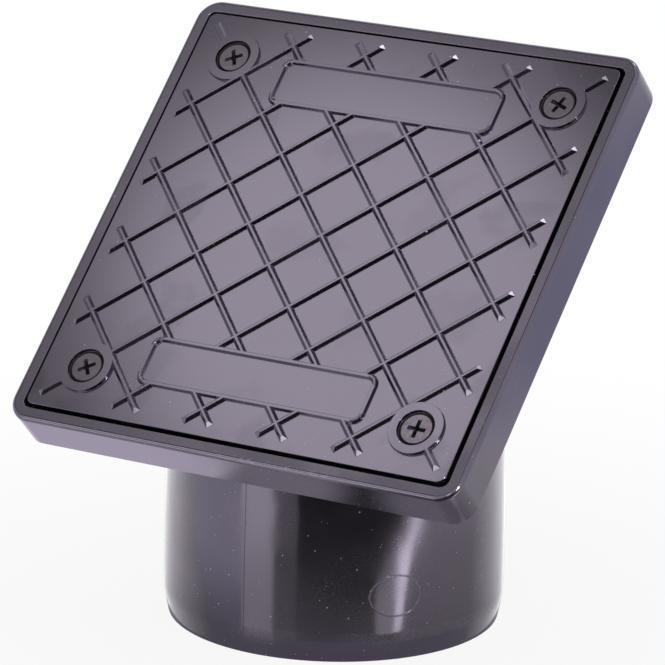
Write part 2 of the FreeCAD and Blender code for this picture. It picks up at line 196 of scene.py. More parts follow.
class NodePen:
    """Writes shader nodes into one node tree, left to right."""

    def __init__(self, tree: bpy.types.NodeTree) -> None:
        """Starts with an empty tree."""
        self.tree = tree
        tree.nodes.clear()

    def add(self, kind: str, settings: dict | None = None, *values: object,
            **inputs: object) -> bpy.types.Node:
        """Adds a node, sets its properties and feeds its inputs; a socket is linked and a value is set.

        Args:
            kind: the node's type without its ShaderNode prefix.
            settings: the node's own properties.
            values: what its first inputs get, in order.
            inputs: what its inputs get by name, with spaces as underscores.

        Returns:
            The new node.
        """
        node = self.tree.nodes.new("ShaderNode" + kind)
        for name, value in (settings or {}).items():
            setattr(node, name, value)
        for socket, value in zip(node.inputs, values):
            self.feed(socket, value)
        for name, value in inputs.items():
            self.feed(node.inputs[name.replace("_", " ")], value)
        return node

    def feed(self, socket: Socket, value: object) -> None:
        """Links an output to a socket, or sets a plain value on it.

        Args:
            socket: the input.
            value: the output or the plain value.
        """
        if isinstance(value, Socket):
            self.tree.links.new(value, socket)
        else:
            socket.default_value = value

    def math(self, operation: str, first: object, second: object) -> Socket:
        """Works out one number from two by a Math node's operation."""
        return self.add("Math", {"operation": operation}, first, second).outputs[0]

    def ramp(self, value: object, low: float, high: float, start: float = 0.0, stop: float = 1.0) -> Socket:
        """Maps a value smoothly from the range low to high to the range start to stop."""
        node = self.add("MapRange", {"interpolation_type": "SMOOTHSTEP"}, Value=value, From_Min=low,
                        From_Max=high, To_Min=start, To_Max=stop)
        return node.outputs["Result"]

    def blend(self, share: object, first: object, second: object) -> Socket:
        """Mixes two colours.

        Args:
            share: the share of the second colour.
            first: the first colour, as a socket or RGBA.
            second: the second colour.

        Returns:
            The mixed colour's socket.
        """
        node = self.add("Mix", {"data_type": "RGBA"}, share)
        for socket, colour in zip(node.inputs[MIX_COLOURS], (first, second)):
            self.feed(socket, colour)
        return node.outputs[MIX_RESULT]

    def noise(self, place: object, size: float, detail: float = 3.0) -> Socket:
        """Soft noise whose patches are about a size across, from 0 to 1."""
        return self.add("TexNoise", Vector=place, Scale=1 / size, Detail=detail).outputs["Fac"]


def new_material(name: str) -> tuple[Material, NodePen]:
    """Starts a node material.

    Args:
        name: the material's name.

    Returns:
        The material and the pen for its tree.
    """
    material = bpy.data.materials.new(name)
    material.use_nodes = True
    return material, NodePen(material.node_tree)


@dataclass(frozen=True)
class Scuff:
    """A worn line on a moulding.

    Attributes:
        start: where it starts.
        stop: where it ends.
        reach: how far it spreads to either side.
        level: noise level above which the plastic is worn.
        softness: how far above that level it is wholly worn.
    """

    start: Vector
    stop: Vector
    reach: float = 1.5 * MM
    level: float = 0.50
    softness: float = 0.12

    @classmethod
    def of_rim(cls, axes: CoverAxes, ends: Pair = (-6 * MM, 37 * MM), drop: float = 0.5 * MM) -> "Scuff":
        """A worn stretch of the rim's lower edge.

        Args:
            axes: the axes of the frame.
            ends: where it starts and ends across.
            drop: how far it lies outside the rim's flat top, and below it.

        Returns:
            The scuff.
        """
        low, top = axes.rim()
        return cls(*(axes.point(across, low - drop, top - drop) for across in ends))

    def mask(self, pen: NodePen, place: Socket) -> Socket:
        """Writes where the plastic is worn.

        Args:
            pen: the pen for the material's tree.
            place: the coordinates' socket.

        Returns:
            A mask that is 1 where the plastic is worn.
        """
        line = self.stop - self.start
        offset = pen.add("VectorMath", {"operation": "SUBTRACT"}, place, self.start).outputs[0]
        along = pen.add("VectorMath", {"operation": "DOT_PRODUCT"}, offset, line / line.length_squared)
        share = pen.add("Clamp", Value=along.outputs["Value"]).outputs[0]
        foot = pen.add("VectorMath", {"operation": "SCALE"}, line, Scale=share).outputs[0]
        away = pen.add("VectorMath", {"operation": "DISTANCE"}, offset, foot)
        near = pen.ramp(away.outputs["Value"], self.reach, 0.0)
        worn = pen.ramp(pen.noise(place, self.reach, 6.0), self.level, self.level + self.softness)
        return pen.math("MULTIPLY", near, worn)


@dataclass(frozen=True)
class MouldedPlastic:
    """Black gloss plastic as it leaves the mould: faint waves, handling smudges, scratches and dust."""

    name: str
    colour: Colour = (0.0085, 0.0075, 0.0100)
    bloom: Colour = (0.0230, 0.0205, 0.0260)
    scratched: Colour = (0.1700, 0.1600, 0.1750)
    dust: Colour = (0.6200, 0.6000, 0.6200)
    sheen_tint: Colour = (0.9000, 0.7850, 1.0000)
    ior: float = 2.25
    clean_roughness: float = 0.08
    smudged_roughness: float = 0.13
    scratch_level: float = 0.70
    empty_share: float = 0.62
    smudge_size: float = 26 * MM
    smudge_levels: Pair = (0.38, 0.68)
    wave_size: float = 34 * MM
    grain_size: float = 0.35 * MM
    wave_height: float = 0.016 * MM
    grain_share: float = 0.012
    scratch_share: float = 0.05
    scratches: tuple[tuple[Triple, float, float], ...] = (
        ((0.3, 0.5, 0.9), 16 * MM, 0.16 * MM), ((1.1, -0.4, -0.6), 11 * MM, 0.13 * MM))
    scratch_step: float = 0.01
    scratch_softness: float = 0.04
    scratch_patch: float = 30 * MM
    scratch_patch_levels: Pair = (0.45, 0.62)
    scratch_roughness: float = 0.42
    dust_roughness: float = 0.8
    speck_spacing: float = 4.2 * MM
    speck_radius: float = 0.24 * MM
    scuffs: tuple[Scuff, ...] = ()

    def build(self) -> Material:
        """Writes the finish as a node material.

        Returns:
            The material.
        """
        material, pen = new_material(self.name)
        place = pen.add("TexCoord").outputs["Object"]
        smudge = pen.ramp(pen.noise(place, self.smudge_size, 5.0), *self.smudge_levels)
        scratch = self.streaks(pen, place)
        for scuff in self.scuffs:
            scratch = pen.math("MAXIMUM", scratch, scuff.mask(pen, place))
        colour = pen.blend(smudge, (*self.colour, 1), (*self.bloom, 1))
        roughness = pen.ramp(smudge, 0.0, 1.0, self.clean_roughness, self.smudged_roughness)
        for mark, tone, dullness in ((scratch, self.scratched, self.scratch_roughness),
                                     (self.specks(pen, place), self.dust, self.dust_roughness)):
            colour = pen.blend(mark, colour, (*tone, 1))
            roughness = pen.math("MAXIMUM", roughness, pen.math("MULTIPLY", mark, dullness))
        grain = pen.math("MULTIPLY", pen.noise(place, self.grain_size, 2.0), self.grain_share)
        height = pen.math("ADD", pen.noise(place, self.wave_size, 1.0), grain)
        height = pen.math("SUBTRACT", height, pen.math("MULTIPLY", scratch, self.scratch_share))
        bump = pen.add("Bump", Height=height, Distance=self.wave_height)
        shader = pen.add("BsdfPrincipled", Base_Color=colour, Roughness=roughness, Normal=bump.outputs[0],
                         Specular_Tint=(*self.sheen_tint, 1), IOR=self.ior)
        pen.add("OutputMaterial", Surface=shader.outputs[0])
        return material

    def streaks(self, pen: NodePen, place: Socket) -> Socket:
        """Fine straight scratches in patches.

        Args:
            pen: the pen for the material's tree.
            place: the coordinates' socket.

        Returns:
            A mask that is 1 on a scratch.
        """
        masks = []
        for index, (turn, length, width) in enumerate(self.scratches):
            level = self.scratch_level + self.scratch_step * index
            turned = pen.add("Mapping", Vector=place, Rotation=turn).outputs[0]
            drawn = pen.add("Mapping", Vector=turned, Scale=(1 / length, 1 / width, 1 / width)).outputs[0]
            masks.append(pen.ramp(pen.noise(drawn, 1.0, 1.0), level, level + self.scratch_softness))
        patch = pen.ramp(pen.noise(place, self.scratch_patch, 2.0), *self.scratch_patch_levels)
        return pen.math("MULTIPLY", pen.math("MAXIMUM", *masks), patch)

    def specks(self, pen: NodePen, place: Socket) -> Socket:
        """Scattered round specks of dust.

        Args:
            pen: the pen for the material's tree.
            place: the coordinates' socket.

        Returns:
            A mask that is 1 on a speck.
        """
        cells = pen.add("TexVoronoi", Vector=place, Scale=1 / self.speck_spacing)
        chance = pen.add("SeparateColor", Color=cells.outputs["Color"]).outputs[0]
        reach = pen.ramp(chance, self.empty_share, 1.0, 0.0, self.speck_radius / self.speck_spacing)
        return pen.math("LESS_THAN", cells.outputs["Distance"], reach)


@dataclass(frozen=True)
class PatchyFinish:
    """A colour with soft patches of another, over a fine grain.

    Attributes:
        levels: noise levels between which a patch fades in.
        roughness: lowest and highest roughness.
        mottle: about how wide the gloss's own mottles are, or none where the gloss follows the patches.
    """

    name: str
    colour: Colour
    patch: Colour
    size: float
    detail: float
    levels: Pair
    roughness: Pair
    grain: float
    depth: float
    grain_detail: float = 3.0
    mottle: float | None = None
    mottle_levels: Pair = (0.3, 0.7)
    metallic: float = 0.0
    ior: float = 1.5

    def build(self) -> Material:
        """Writes the finish as a node material.

        Returns:
            The material.
        """
        material, pen = new_material(self.name)
        place = pen.add("TexCoord").outputs["Object"]
        patch = pen.ramp(pen.noise(place, self.size, self.detail), *self.levels)
        colour = pen.blend(patch, (*self.colour, 1), (*self.patch, 1))
        if self.mottle is None:
            gloss = pen.ramp(patch, 0.0, 1.0, *self.roughness)
        else:
            gloss = pen.ramp(pen.noise(place, self.mottle, 4.0), *self.mottle_levels, *self.roughness)
        bump = pen.add("Bump", Height=pen.noise(place, self.grain, self.grain_detail), Distance=self.depth)
        shader = pen.add("BsdfPrincipled", Base_Color=colour, Roughness=gloss, Normal=bump.outputs[0],
                         Metallic=self.metallic, IOR=self.ior)
        pen.add("OutputMaterial", Surface=shader.outputs[0])
        return material


# Matt black rubber with a powdery bloom, dark coated steel with lighter rubs, and a near-black painted shade for
# the wells and the screws' recesses and rims
SEAL_RUBBER = PatchyFinish(
    "seal_rubber", colour=(0.012, 0.012, 0.012), patch=(0.040, 0.039, 0.038), size=4 * MM, detail=6.0,
    levels=(0.40, 0.75), roughness=(0.62, 0.85), grain=0.4 * MM, depth=0.02 * MM)
SCREW_STEEL = PatchyFinish(
    "screw_steel", colour=(0.138, 0.116, 0.143), patch=(0.182, 0.154, 0.186), size=1.6 * MM, detail=5.0,
    levels=(0.52, 0.74), roughness=(0.13, 0.24), grain=0.12 * MM, depth=0.004 * MM, grain_detail=2.0,
    mottle=0.9 * MM, metallic=1.0)
# Painted shade: near-black, standing in for the shade in the wells and recesses
PAINTED_SHADE = PatchyFinish(
    "painted_shade", colour=(0.004, 0.003, 0.004), patch=(0.016, 0.014, 0.016), size=1.2 * MM, detail=5.0,
    levels=(0.45, 0.75), roughness=(0.55, 0.85), grain=0.3 * MM, depth=0.03 * MM, ior=1.35)


@dataclass(frozen=True)
class EdgeRounding:
    """Small radii on a moulding's sharp edges.

    Attributes:
        width: how far a radius reaches along each face.
        segments: facets round a radius.
        slot: the piece's material slot for the radii, or -1 to take each radius from its neighbours.
    """

    width: float
    segments: int = 2
    slot: int = -1

    def apply(self, piece: Piece) -> None:
        """Rounds the weighted edges of a piece and settles its shading.

        Args:
            piece: the object, whose mesh is replaced by the rounded one.
        """
        bevel = piece.modifiers.new("radii", "BEVEL")
        bevel.limit_method = "WEIGHT"
        bevel.width = self.width
        bevel.segments = self.segments
        bevel.use_clamp_overlap = False
        bevel.material = self.slot
        bevel.face_strength_mode = "FSTR_ALL"
        shading = piece.modifiers.new("shading", "WEIGHTED_NORMAL")
        shading.keep_sharp = True
        shading.use_face_influence = True
        settle(piece)


def settle(piece: Piece) -> None:
    """Replaces a piece's mesh by what its modifiers make of it, and removes the modifiers.

    Args:
        piece: the object.
    """
    graph = bpy.context.evaluated_depsgraph_get()
    made = bpy.data.meshes.new_from_object(
        piece.evaluated_get(graph), preserve_all_data_layers=True, depsgraph=graph)
    drawn = piece.data
    piece.modifiers.clear()
    piece.data = made
    bpy.data.meshes.remove(drawn)
    made.name = piece.name


def new_piece(name: str, drawing: Drawing, materials: list[Material]) -> Piece:
    """Makes an object of a drawing.

    Args:
        name: the piece's name.
        drawing: its mesh, which is freed.
        materials: its material slots, in order.

    Returns:
        The object, smooth-shaded and in the scene.
    """
    for face in drawing.faces:
        face.smooth = True
    mesh = bpy.data.meshes.new(name)
    drawing.to_mesh(mesh)
    drawing.free()
    for material in materials:
        mesh.materials.append(material)
    piece = bpy.data.objects.new(name, mesh)
    bpy.context.scene.collection.objects.link(piece)
    return piece


def copy_of_node(node: str) -> Drawing:
    """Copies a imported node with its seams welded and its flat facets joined.

    Args:
        node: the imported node.

    Returns:
        The copy, for the caller to free.
    """
    drawing = bmesh.new()
    drawing.from_mesh(frame["nodes"][node].data)
    for face in drawing.faces:
        face.material_index = 0
    bmesh.ops.remove_doubles(drawing, verts=drawing.verts, dist=WELD_DISTANCE)
    bmesh.ops.dissolve_limit(drawing, angle_limit=FLAT_ANGLE, verts=drawing.verts, edges=drawing.edges)
    return drawing


def stitch(drawing: Drawing, rows: list[list[bmesh.types.BMVert]], closed: bool = True) -> None:
    """Joins each row of points to the one after it.

    Args:
        drawing: the mesh that the points belong to.
        rows: rows of equally many points.
        closed: whether the rows are rings.
    """
    for row, following in zip(rows, rows[1:]):
        for index in range(0 if closed else 1, len(row)):
            before = index - 1
            drawing.faces.new((row[before], following[before], following[index], row[index]))


def weigh_edges(drawing: Drawing, is_crease: Callable[[Edge], bool] | None = None,
                sharp_weight: float = 1.0) -> None:
    """Marks the edges that get a radius.

    Args:
        drawing: the mesh.
        is_crease: says of an edge below the edge angle whether it is a crease, which gets the whole radius.
        sharp_weight: the share of the radius that sharp edges get.
    """
    weight = drawing.edges.layers.float.new(WEIGHT_LAYER)
    for edge in drawing.edges:
        if edge.calc_face_angle(0.0) > EDGE_ANGLE:
            edge[weight] = sharp_weight
        elif is_crease and is_crease(edge):
            edge[weight] = 1.0


@dataclass
class BodyMoulding:
    """Frame and spigot, one black moulding, with the marks that its mould left on the spigot."""

    axes: CoverAxes
    plastic: Material
    edges: Material
    land: Material
    rounding: EdgeRounding = EdgeRounding(2.0 * MM, 3, slot=EDGE_COAT)
    edge_share: float = 0.175
    seam_width: float = 0.32 * MM
    seam_height: float = 0.10 * MM
    seam_step: float = 1.0 * MM
    mark_radius: float = 6.65 * MM
    mark_place: Pair = (-33.9 * MM, 21.6 * MM)
    mark_width: float = 0.60 * MM
    mark_steps: int = 96
    bead_section: tuple[Pair, ...] = (
        (-1.0, -0.4), (-1.0, 0.0), (-0.5, 0.75), (0.0, 1.0), (0.5, 0.75), (1.0, 0.0), (1.0, -0.4))
    crease_angle: float = math.radians(5)
    surface: BVHTree = field(init=False)
    foot: float = field(init=False)
    skirt: float = field(init=False)
    slope: float = field(init=False)
    axis_height: float = field(init=False)

    def build(self) -> list[Piece]:
        """Builds the moulding, its two seams and its pin mark.

        Returns:
            The pieces, dressed and riding on the body.
        """
        drawing = copy_of_node("body")
        self.surface = BVHTree.FromBMesh(drawing)
        self.measure([vertex.co.copy() for vertex in drawing.verts])
        weigh_edges(drawing, self.is_spigot_crease, self.edge_share)
        moulding = new_piece("body_moulding", drawing, [self.plastic, self.edges, self.land])
        self.rounding.apply(moulding)
        self.dull_land(moulding)
        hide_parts("body")
        pieces = [moulding, self.seam(Side.FRONT), self.seam(Side.BACK), self.pin_mark()]
        for piece in pieces:
            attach(piece, "body")
        return pieces

    def measure(self, points: list[Vector]) -> None:
        """Finds where the spigot ends and where the frame begins.

        Args:
            points: the moulding's vertices.
        """
        out, up = self.axes.out, self.axes.up
        crown = max(point.dot(up) for point in points)
        underside = min(point.dot(out) for point in points if point.dot(up) > crown - WELD_DISTANCE)
        self.foot = min(point.z for point in points)
        self.skirt = min(point.z for point in points if point.dot(out) > underside - WELD_DISTANCE)
        self.slope = -out.y / out.z
        self.axis_height = underside / out.z

    def skirt_edge(self) -> Vector:
        """The middle of the frame's lowest edge."""
        return Vector((0, (self.skirt - self.axis_height) / self.slope, self.skirt))

    def is_spigot_crease(self, edge: Edge) -> bool:
        """Tells the rings round the spigot where its profile turns.

        Args:
            edge: an edge of the moulding.

        Returns:
            Whether it lies on such a ring.
        """
        first, last = (vertex.co for vertex in edge.verts)
        level = abs(first.z - last.z) < WELD_DISTANCE and first.z < self.skirt
        return level and edge.calc_face_angle(0.0) > self.crease_angle

    def dull_land(self, moulding: Piece) -> None:
        """Puts the handled finish on the rim's flat top.

        Args:
            moulding: the rounded body.
        """
        out, top = self.axes.out, self.axes.rim()[1]
        for polygon in moulding.data.polygons:
            if polygon.normal.dot(out) > FACING and polygon.center.dot(out) > top - WELD_DISTANCE:
                polygon.material_index = LAND_COAT

    def radius_at(self, height: float, direction: Vector) -> float:
        """Measures the spigot's outside.

        Args:
            height: the place up the spigot; above the frame's lowest edge the root's radius holds.
            direction: the level unit vector to measure along.

        Returns:
            The radius there.
        """
        level = min(height, self.skirt - self.seam_step)
        start = direction * CAD_BOX[1].length + Vector((0, 0, level))
        hit = self.surface.ray_cast(start, -direction)[0]
        return Vector((hit.x, hit.y)).length

    def bead(self, name: str, line: list[tuple[Vector, Vector]], width: float, closed: bool) -> Piece:
        """Lays a low bead along a line on the spigot.

        Args:
            name: the piece's name.
            line: the points of the line, each with the surface's direction outwards there.
            width: the bead's width.
            closed: whether the line ends where it starts.

        Returns:
            The bead, sunk a little into the surface.
        """
        drawing = bmesh.new()
        section = [(x * width / 2, y * self.seam_height) for x, y in self.bead_section]
        count = len(line)
        rings = []
        for index, (point, outwards) in enumerate(line):
            ahead = line[(index + 1) % count if closed else min(index + 1, count - 1)][0]
            behind = line[(index - 1) % count if closed else max(index - 1, 0)][0]
            sideways = (ahead - behind).normalized().cross(outwards).normalized()
            rings.append([drawing.verts.new(point + sideways * x + outwards * y) for x, y in section])
        stitch(drawing, rings + rings[:1] if closed else rings)
        if not closed:
            drawing.faces.new(rings[0])
            drawing.faces.new(rings[-1])
        bmesh.ops.recalc_face_normals(drawing, faces=drawing.faces)
        return new_piece(name, drawing, [self.edges])

    def seam(self, side: Side) -> Piece:
        """The parting line where the two halves of the spigot's mould met.

        Args:
            side: front or back of the spigot.

        Returns:
            The seam.
        """
        direction = Vector((0, side.value, 0))
        top = self.axis_height + side.value * self.slope * self.radius_at(self.skirt, direction)
        count = max(2, round((top - self.foot) / self.seam_step))
        line = []
        for index in range(count + 1):
            height = self.foot + self.seam_step / 2 + (top - self.foot - self.seam_step) * index / count
            line.append((direction * self.radius_at(height, direction) + Vector((0, 0, height)), direction))
        return self.bead(f"spigot_seam_{side.name.lower()}", line, self.seam_width, closed=False)

    def pin_mark(self) -> Piece:
        """The thin round witness line of a pin in the spigot's right-hand mould half.

        Returns:
            The line, as a closed bead.
        """
        centre_y, centre_z = self.mark_place
        line = []
        for step in range(self.mark_steps):
            turn = 2 * math.pi * step / self.mark_steps
            y = centre_y + self.mark_radius * math.cos(turn)
            z = centre_z + self.mark_radius * math.sin(turn)
            radius = self.radius_at(z, Vector((1, 0, 0)))
            outwards = Vector((math.sqrt(radius ** 2 - y ** 2), y, 0))
            line.append((outwards + Vector((0, 0, z)), outwards.normalized()))
        return self.bead("spigot_pin_mark", line, self.mark_width, closed=True)


@dataclass
class CoverMoulding:
    """The ribbed cover plate."""

    axes: CoverAxes
    plastic: Material
    # The painted shade for the wells round the screws
    painted_shade: Material
    rounding: EdgeRounding = EdgeRounding(0.09 * MM, 2)
    margin: float = 1.0 * MM
    well_reach: float = 6.1 * MM
    crest_widths: Pair = (0.5 * MM, 0.9 * MM)
    end_ease: float = 0.45 * MM

    def build(self) -> list[Piece]:
        """Builds the cover.

        Returns:
            The one piece, dressed and riding on the cover.
        """
        drawing = copy_of_node("cover")
        self.ease_rib_ends(drawing)
        bmesh.ops.connect_verts_concave(drawing, faces=drawing.faces)
        weigh_edges(drawing)
        self.spare_outer_edge(drawing)
        cover = new_piece("cover_moulding", drawing, [self.plastic, self.painted_shade])
        self.rounding.apply(cover)
        self.shade_wells(cover)
        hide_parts("cover")
        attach(cover, "cover")
        return [cover]

    def ease_rib_ends(self, drawing: Drawing) -> None:
        """Slopes the ribs' ends more gently than their walls.

        Args:
            drawing: the copy of the node.
        """
        out = self.axes.out
        crest = max(vertex.co.dot(out) for vertex in drawing.verts)
        level = [edge for edge in drawing.edges
                 if min(vertex.co.dot(out) for vertex in edge.verts) > crest - WELD_DISTANCE]
        shortest, longest = self.crest_widths
        moves = {}
        for edge in level:
            first, last = (vertex.co for vertex in edge.verts)
            along = (last - first).normalized()
            diagonal = abs(abs(along.dot(self.axes.across)) - math.sqrt(0.5)) < 1 - FACING
            end = next((face for face in edge.link_faces if face.normal.dot(out) < FACING), None)
            fits = diagonal and shortest < edge.calc_length() < longest
            if not fits or end is None or len(end.verts) != 4:
                continue
            inwards = (out * end.normal.dot(out) - end.normal).normalized() * self.end_ease
            moves.update({vertex: inwards for vertex in edge.verts})
        for vertex, inwards in moves.items():
            vertex.co += inwards

    def shade_wells(self, cover: Piece) -> None:
        """Puts the painted shade on the floors and walls of the wells round the screws' heads.

        Args:
            cover: the rounded cover.
        """
        out = self.axes.out
        for corner in Corner:
            centre = self.axes.head(corner.node)
            for polygon in cover.data.polygons:
                offset = polygon.center - centre
                height = offset.dot(out)
                if (offset - out * height).length < self.well_reach and abs(height) < self.margin:
                    polygon.material_index = PAINTED_SHADE_COAT

    def spare_outer_edge(self, drawing: Drawing) -> None:
        """Leaves the edges round the cover crisp, where the node has its own small bevel.

        Args:
            drawing: the weighted copy of the node.
        """
        weight = drawing.edges.layers.float[WEIGHT_LAYER]
        half = max(vertex.co.dot(self.axes.across) for vertex in drawing.verts)
        middle = sum(self.axes.span("cover", self.axes.up)) / 2
        for edge in drawing.edges:
            reaches = [max(abs(vertex.co.dot(self.axes.across)), abs(vertex.co.dot(self.axes.up) - middle))
                       for vertex in edge.verts]
            if min(reaches) > half - self.margin and edge[weight] > 0:
                edge[weight] = 0.0
                edge.smooth = False


@dataclass
class CoverSeal:
    """The square rubber ring between the ledge and the cover."""

    rubber: Material
    rounding: EdgeRounding = EdgeRounding(0.45 * MM, 3)

    def build(self) -> list[Piece]:
        """Builds the seal.

        Returns:
            The one piece, dressed and riding on the body.
        """
        drawing = copy_of_node("cover_seal")
        weigh_edges(drawing)
        seal = new_piece("cover_seal_ring", drawing, [self.rubber])
        self.rounding.apply(seal)
        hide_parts("cover_seal")
        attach(seal, "body")
        return [seal]


@dataclass
class CoverScrew:
    """One countersunk cross-recess screw with a formed thread."""

    corner: Corner
    axes: CoverAxes
    steel: Material
    # The painted shade for the recess and the rim of the head
    painted_shade: Material
    facets: int = 72
    edge_radius: float = 0.16 * MM
    edge_steps: int = 3
    head_rim: float = 0.4 * MM
    # Width of the ring at the face's rim that gets painted shade
    shaded_rim: float = 0.5 * MM
    shank_radius: float = 2.4 * MM
    thread_pitch: float = 1.6 * MM
    thread_depth: float = 0.55 * MM
    thread_flank: float = 0.25
    rows_per_turn: int = 12
    runout: float = 1.2 * MM
    recess_reach: float = 3.1 * MM
    recess_arm: float = 0.68 * MM
    recess_depth: float = 1.9 * MM
    recess_lead: float = 0.25
    recess_tip: float = 2.5 * MM
    recess_taper: float = 0.42
    recess_flare: float = 1.15
    arm_taper: float = 0.75
    recess_edge: float = 0.07 * MM
    head_radius: float = field(init=False)
    length: float = field(init=False)

    def build(self) -> list[Piece]:
        """Builds the screw on its node's axis.

        Returns:
            The one piece, dressed and riding on its own body.
        """
        left, right = self.axes.span(self.corner.node, self.axes.across)
        end, face = self.axes.span(self.corner.node, self.axes.out)
        self.head_radius = (right - left) / 2
        self.length = face - end
        screw = new_piece(self.corner.node + "_threaded", self.turned(), [self.steel, self.painted_shade])
        self.cut_recess(screw)
        screw.data.transform(self.axes.matrix(self.axes.head(self.corner.node)))
        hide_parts(self.corner.node)
        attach(screw, self.corner.body)
        return [screw]

    def rows(self) -> list[Triple]:
        """The turned outline from the face to the end.

        Returns:
            Rows of radius, depth below the face and share of the thread's depth that is cut there.
        """
        cone_foot = self.head_rim + self.head_radius - self.shank_radius
        outline = [(self.head_radius - self.shaded_rim, 0.0, 0.0)]
        for step in range(self.edge_steps + 1):
            turn = step / self.edge_steps * math.pi / 2
            outline.append((self.head_radius - self.edge_radius * (1 - math.sin(turn)),
                            self.edge_radius * (1 - math.cos(turn)), 0.0))
        outline += [(self.head_radius, self.head_rim, 0.0), (self.shank_radius, cone_foot, 0.0)]
        threaded = self.length - cone_foot
        count = round(threaded / self.thread_pitch * self.rows_per_turn)
        for step in range(1, count + 1):
            depth = cone_foot + threaded * step / count
            outline.append((self.shank_radius, depth, min(1.0, (depth - cone_foot) / self.runout)))
        return outline

    def turned(self) -> Drawing:
        """Turns the outline and forms the thread on it.

        Returns:
            The closed blank, its face at zero and its end below.
        """
        drawing = bmesh.new()
        rings = []
        for radius, depth, cut in self.rows():
            ring = []
            for facet in range(self.facets):
                turn = 2 * math.pi * facet / self.facets
                phase = (depth / self.thread_pitch + facet / self.facets) % 1.0
                crest = max(0.0, 1 - abs(phase - 0.5) / self.thread_flank)
                reach = radius - cut * self.thread_depth * (1 - crest)
                ring.append(drawing.verts.new((reach * math.cos(turn), reach * math.sin(turn), -depth)))
            rings.append(ring)
        drawing.faces.new(rings[0])
        drawing.faces.new(rings[-1][::-1])
        stitch(drawing, rings)
        return drawing

    def cut_recess(self, screw: Piece) -> None:
        """Sinks the tapered cross into the head, puts painted shade in the recess and on a thin ring at the head's
        rim, and softens its edge.

        Args:
            screw: the blank, whose mesh is replaced.
        """
        cutter = new_piece("recess_cutter", self.cross(), [])
        cutter.rotation_euler.z = math.radians(self.corner.value)
        cut = screw.modifiers.new("recess", "BOOLEAN")
        cut.operation = "DIFFERENCE"
        cut.solver = "EXACT"
        cut.object = cutter
        settle(screw)
        bpy.data.objects.remove(cutter)
        drawing = bmesh.new()
        drawing.from_mesh(screw.data)
        weight = drawing.edges.layers.float.new(WEIGHT_LAYER)
        widest = self.recess_reach * self.recess_flare
        for edge in drawing.edges:
            ends = [vertex.co for vertex in edge.verts]
            at_face = all(abs(end.z) < WELD_DISTANCE and end.to_2d().length < widest for end in ends)
            edge[weight] = 1.0 if at_face and edge.calc_face_angle(0.0) > EDGE_ANGLE else 0.0
        # Painted shade in the recess and on a ring round the head's rim
        for face in drawing.faces:
            face.smooth = True
            middle = face.calc_center_median()
            away = middle.to_2d().length
            inside = away < self.recess_reach and -self.recess_tip < middle.z < -self.recess_edge
            at_rim = away > self.head_radius - self.shaded_rim and middle.z > -self.head_rim
            face.material_index = PAINTED_SHADE_COAT if inside or at_rim else 0
        drawing.to_mesh(screw.data)
        drawing.free()
        EdgeRounding(self.recess_edge, 2).apply(screw)

    def cross(self) -> Drawing:
        """The tapered cross that cuts the recess.

        Returns:
            The closed cutter, from above the face to its tip.
        """
        drawing = bmesh.new()
        above = self.recess_depth * self.recess_lead
        rings = []
        for height in (above, -self.recess_depth):
            share = (above - height) / (above + self.recess_depth)
            reach = self.recess_reach * (self.recess_flare - share * (self.recess_flare - self.recess_taper))
            arm = self.recess_arm * (1 - share * (1 - self.arm_taper))
            ring = []
            for quarter in range(4):
                turn = Matrix.Rotation(quarter * math.pi / 2, 2)
                for x, y in ((reach, -arm), (reach, arm), (arm, arm)):
                    flat = turn @ Vector((x, y))
                    ring.append(drawing.verts.new((flat.x, flat.y, height)))
            rings.append(ring)
        tip = drawing.verts.new((0, 0, -self.recess_tip))
        drawing.faces.new(rings[0])
        stitch(drawing, rings)
        for index, point in enumerate(rings[1]):
            drawing.faces.new((rings[1][index - 1], tip, point))
        bmesh.ops.recalc_face_normals(drawing, faces=drawing.faces)
        return drawing


def flat_sheet(width: float, height: float) -> Drawing:
    """Draws a level sheet round the origin.

    Args:
        width: its size along X.
        height: its size along Y.

    Returns:
        The sheet, for the caller to free.
    """
    drawing = bmesh.new()
    corners = ((-1, -1), (1, -1), (1, 1), (-1, 1))
    drawing.faces.new([drawing.verts.new((x * width / 2, y * height / 2, 0)) for x, y in corners])
    return drawing


@dataclass(frozen=True)
class StudioCard:
    """A card that glows, brightest in the middle.

    Attributes:
        name: the card's name.
        towards: the direction from its target to the card.
        distance: how far it stands from its target.
        size: its width and height.
        glow: brightness of its middle and of its edge, where 1 is white.
        fade: where the fall from one to the other starts and ends, as shares of half the card.
        tint: its colour.
        mirror_only: whether only gloss shows it; it then lights nothing and fades out at its edge.
    """

    name: str
    towards: Triple
    distance: float
    size: Pair
    glow: Pair
    fade: Pair
    tint: Colour = (1.0, 1.0, 1.0)
    mirror_only: bool = False

    def build(self, target: Vector) -> Piece:
        """Stands the card up, facing its target.

        Args:
            target: the point that it faces.

        Returns:
            The card, out of the camera's sight.
        """
        card = new_piece(self.name, flat_sheet(*self.size), [self.light()])
        direction = Vector(self.towards).normalized()
        card.location = target + direction * self.distance
        card.rotation_euler = direction.to_track_quat("Z", "Y").to_euler()
        card.visible_camera = False
        card.visible_diffuse = card.visible_shadow = not self.mirror_only
        return card

    def light(self) -> Material:
        """Light that falls off from the card's middle to its edge.

        Returns:
            The material.
        """
        material, pen = new_material(self.name)
        place = pen.add("TexCoord").outputs["Object"]
        width, height = self.size
        share = pen.add("Mapping", Vector=place, Scale=(2 / width, 2 / height, 0)).outputs[0]
        away = pen.add("VectorMath", {"operation": "LENGTH"}, Vector=share).outputs["Value"]
        strength = pen.ramp(away, *self.fade, *self.glow)
        light = pen.add("Emission", Color=(*self.tint, 1), Strength=strength)
        if self.mirror_only:
            cover = pen.ramp(away, self.fade[0], 1.0, 1.0, 0.0)
            clear = pen.add("BsdfTransparent")
            light = pen.add("MixShader", {}, cover, clear.outputs[0], light.outputs[0])
        pen.add("OutputMaterial", Surface=light.outputs[0])
        return material


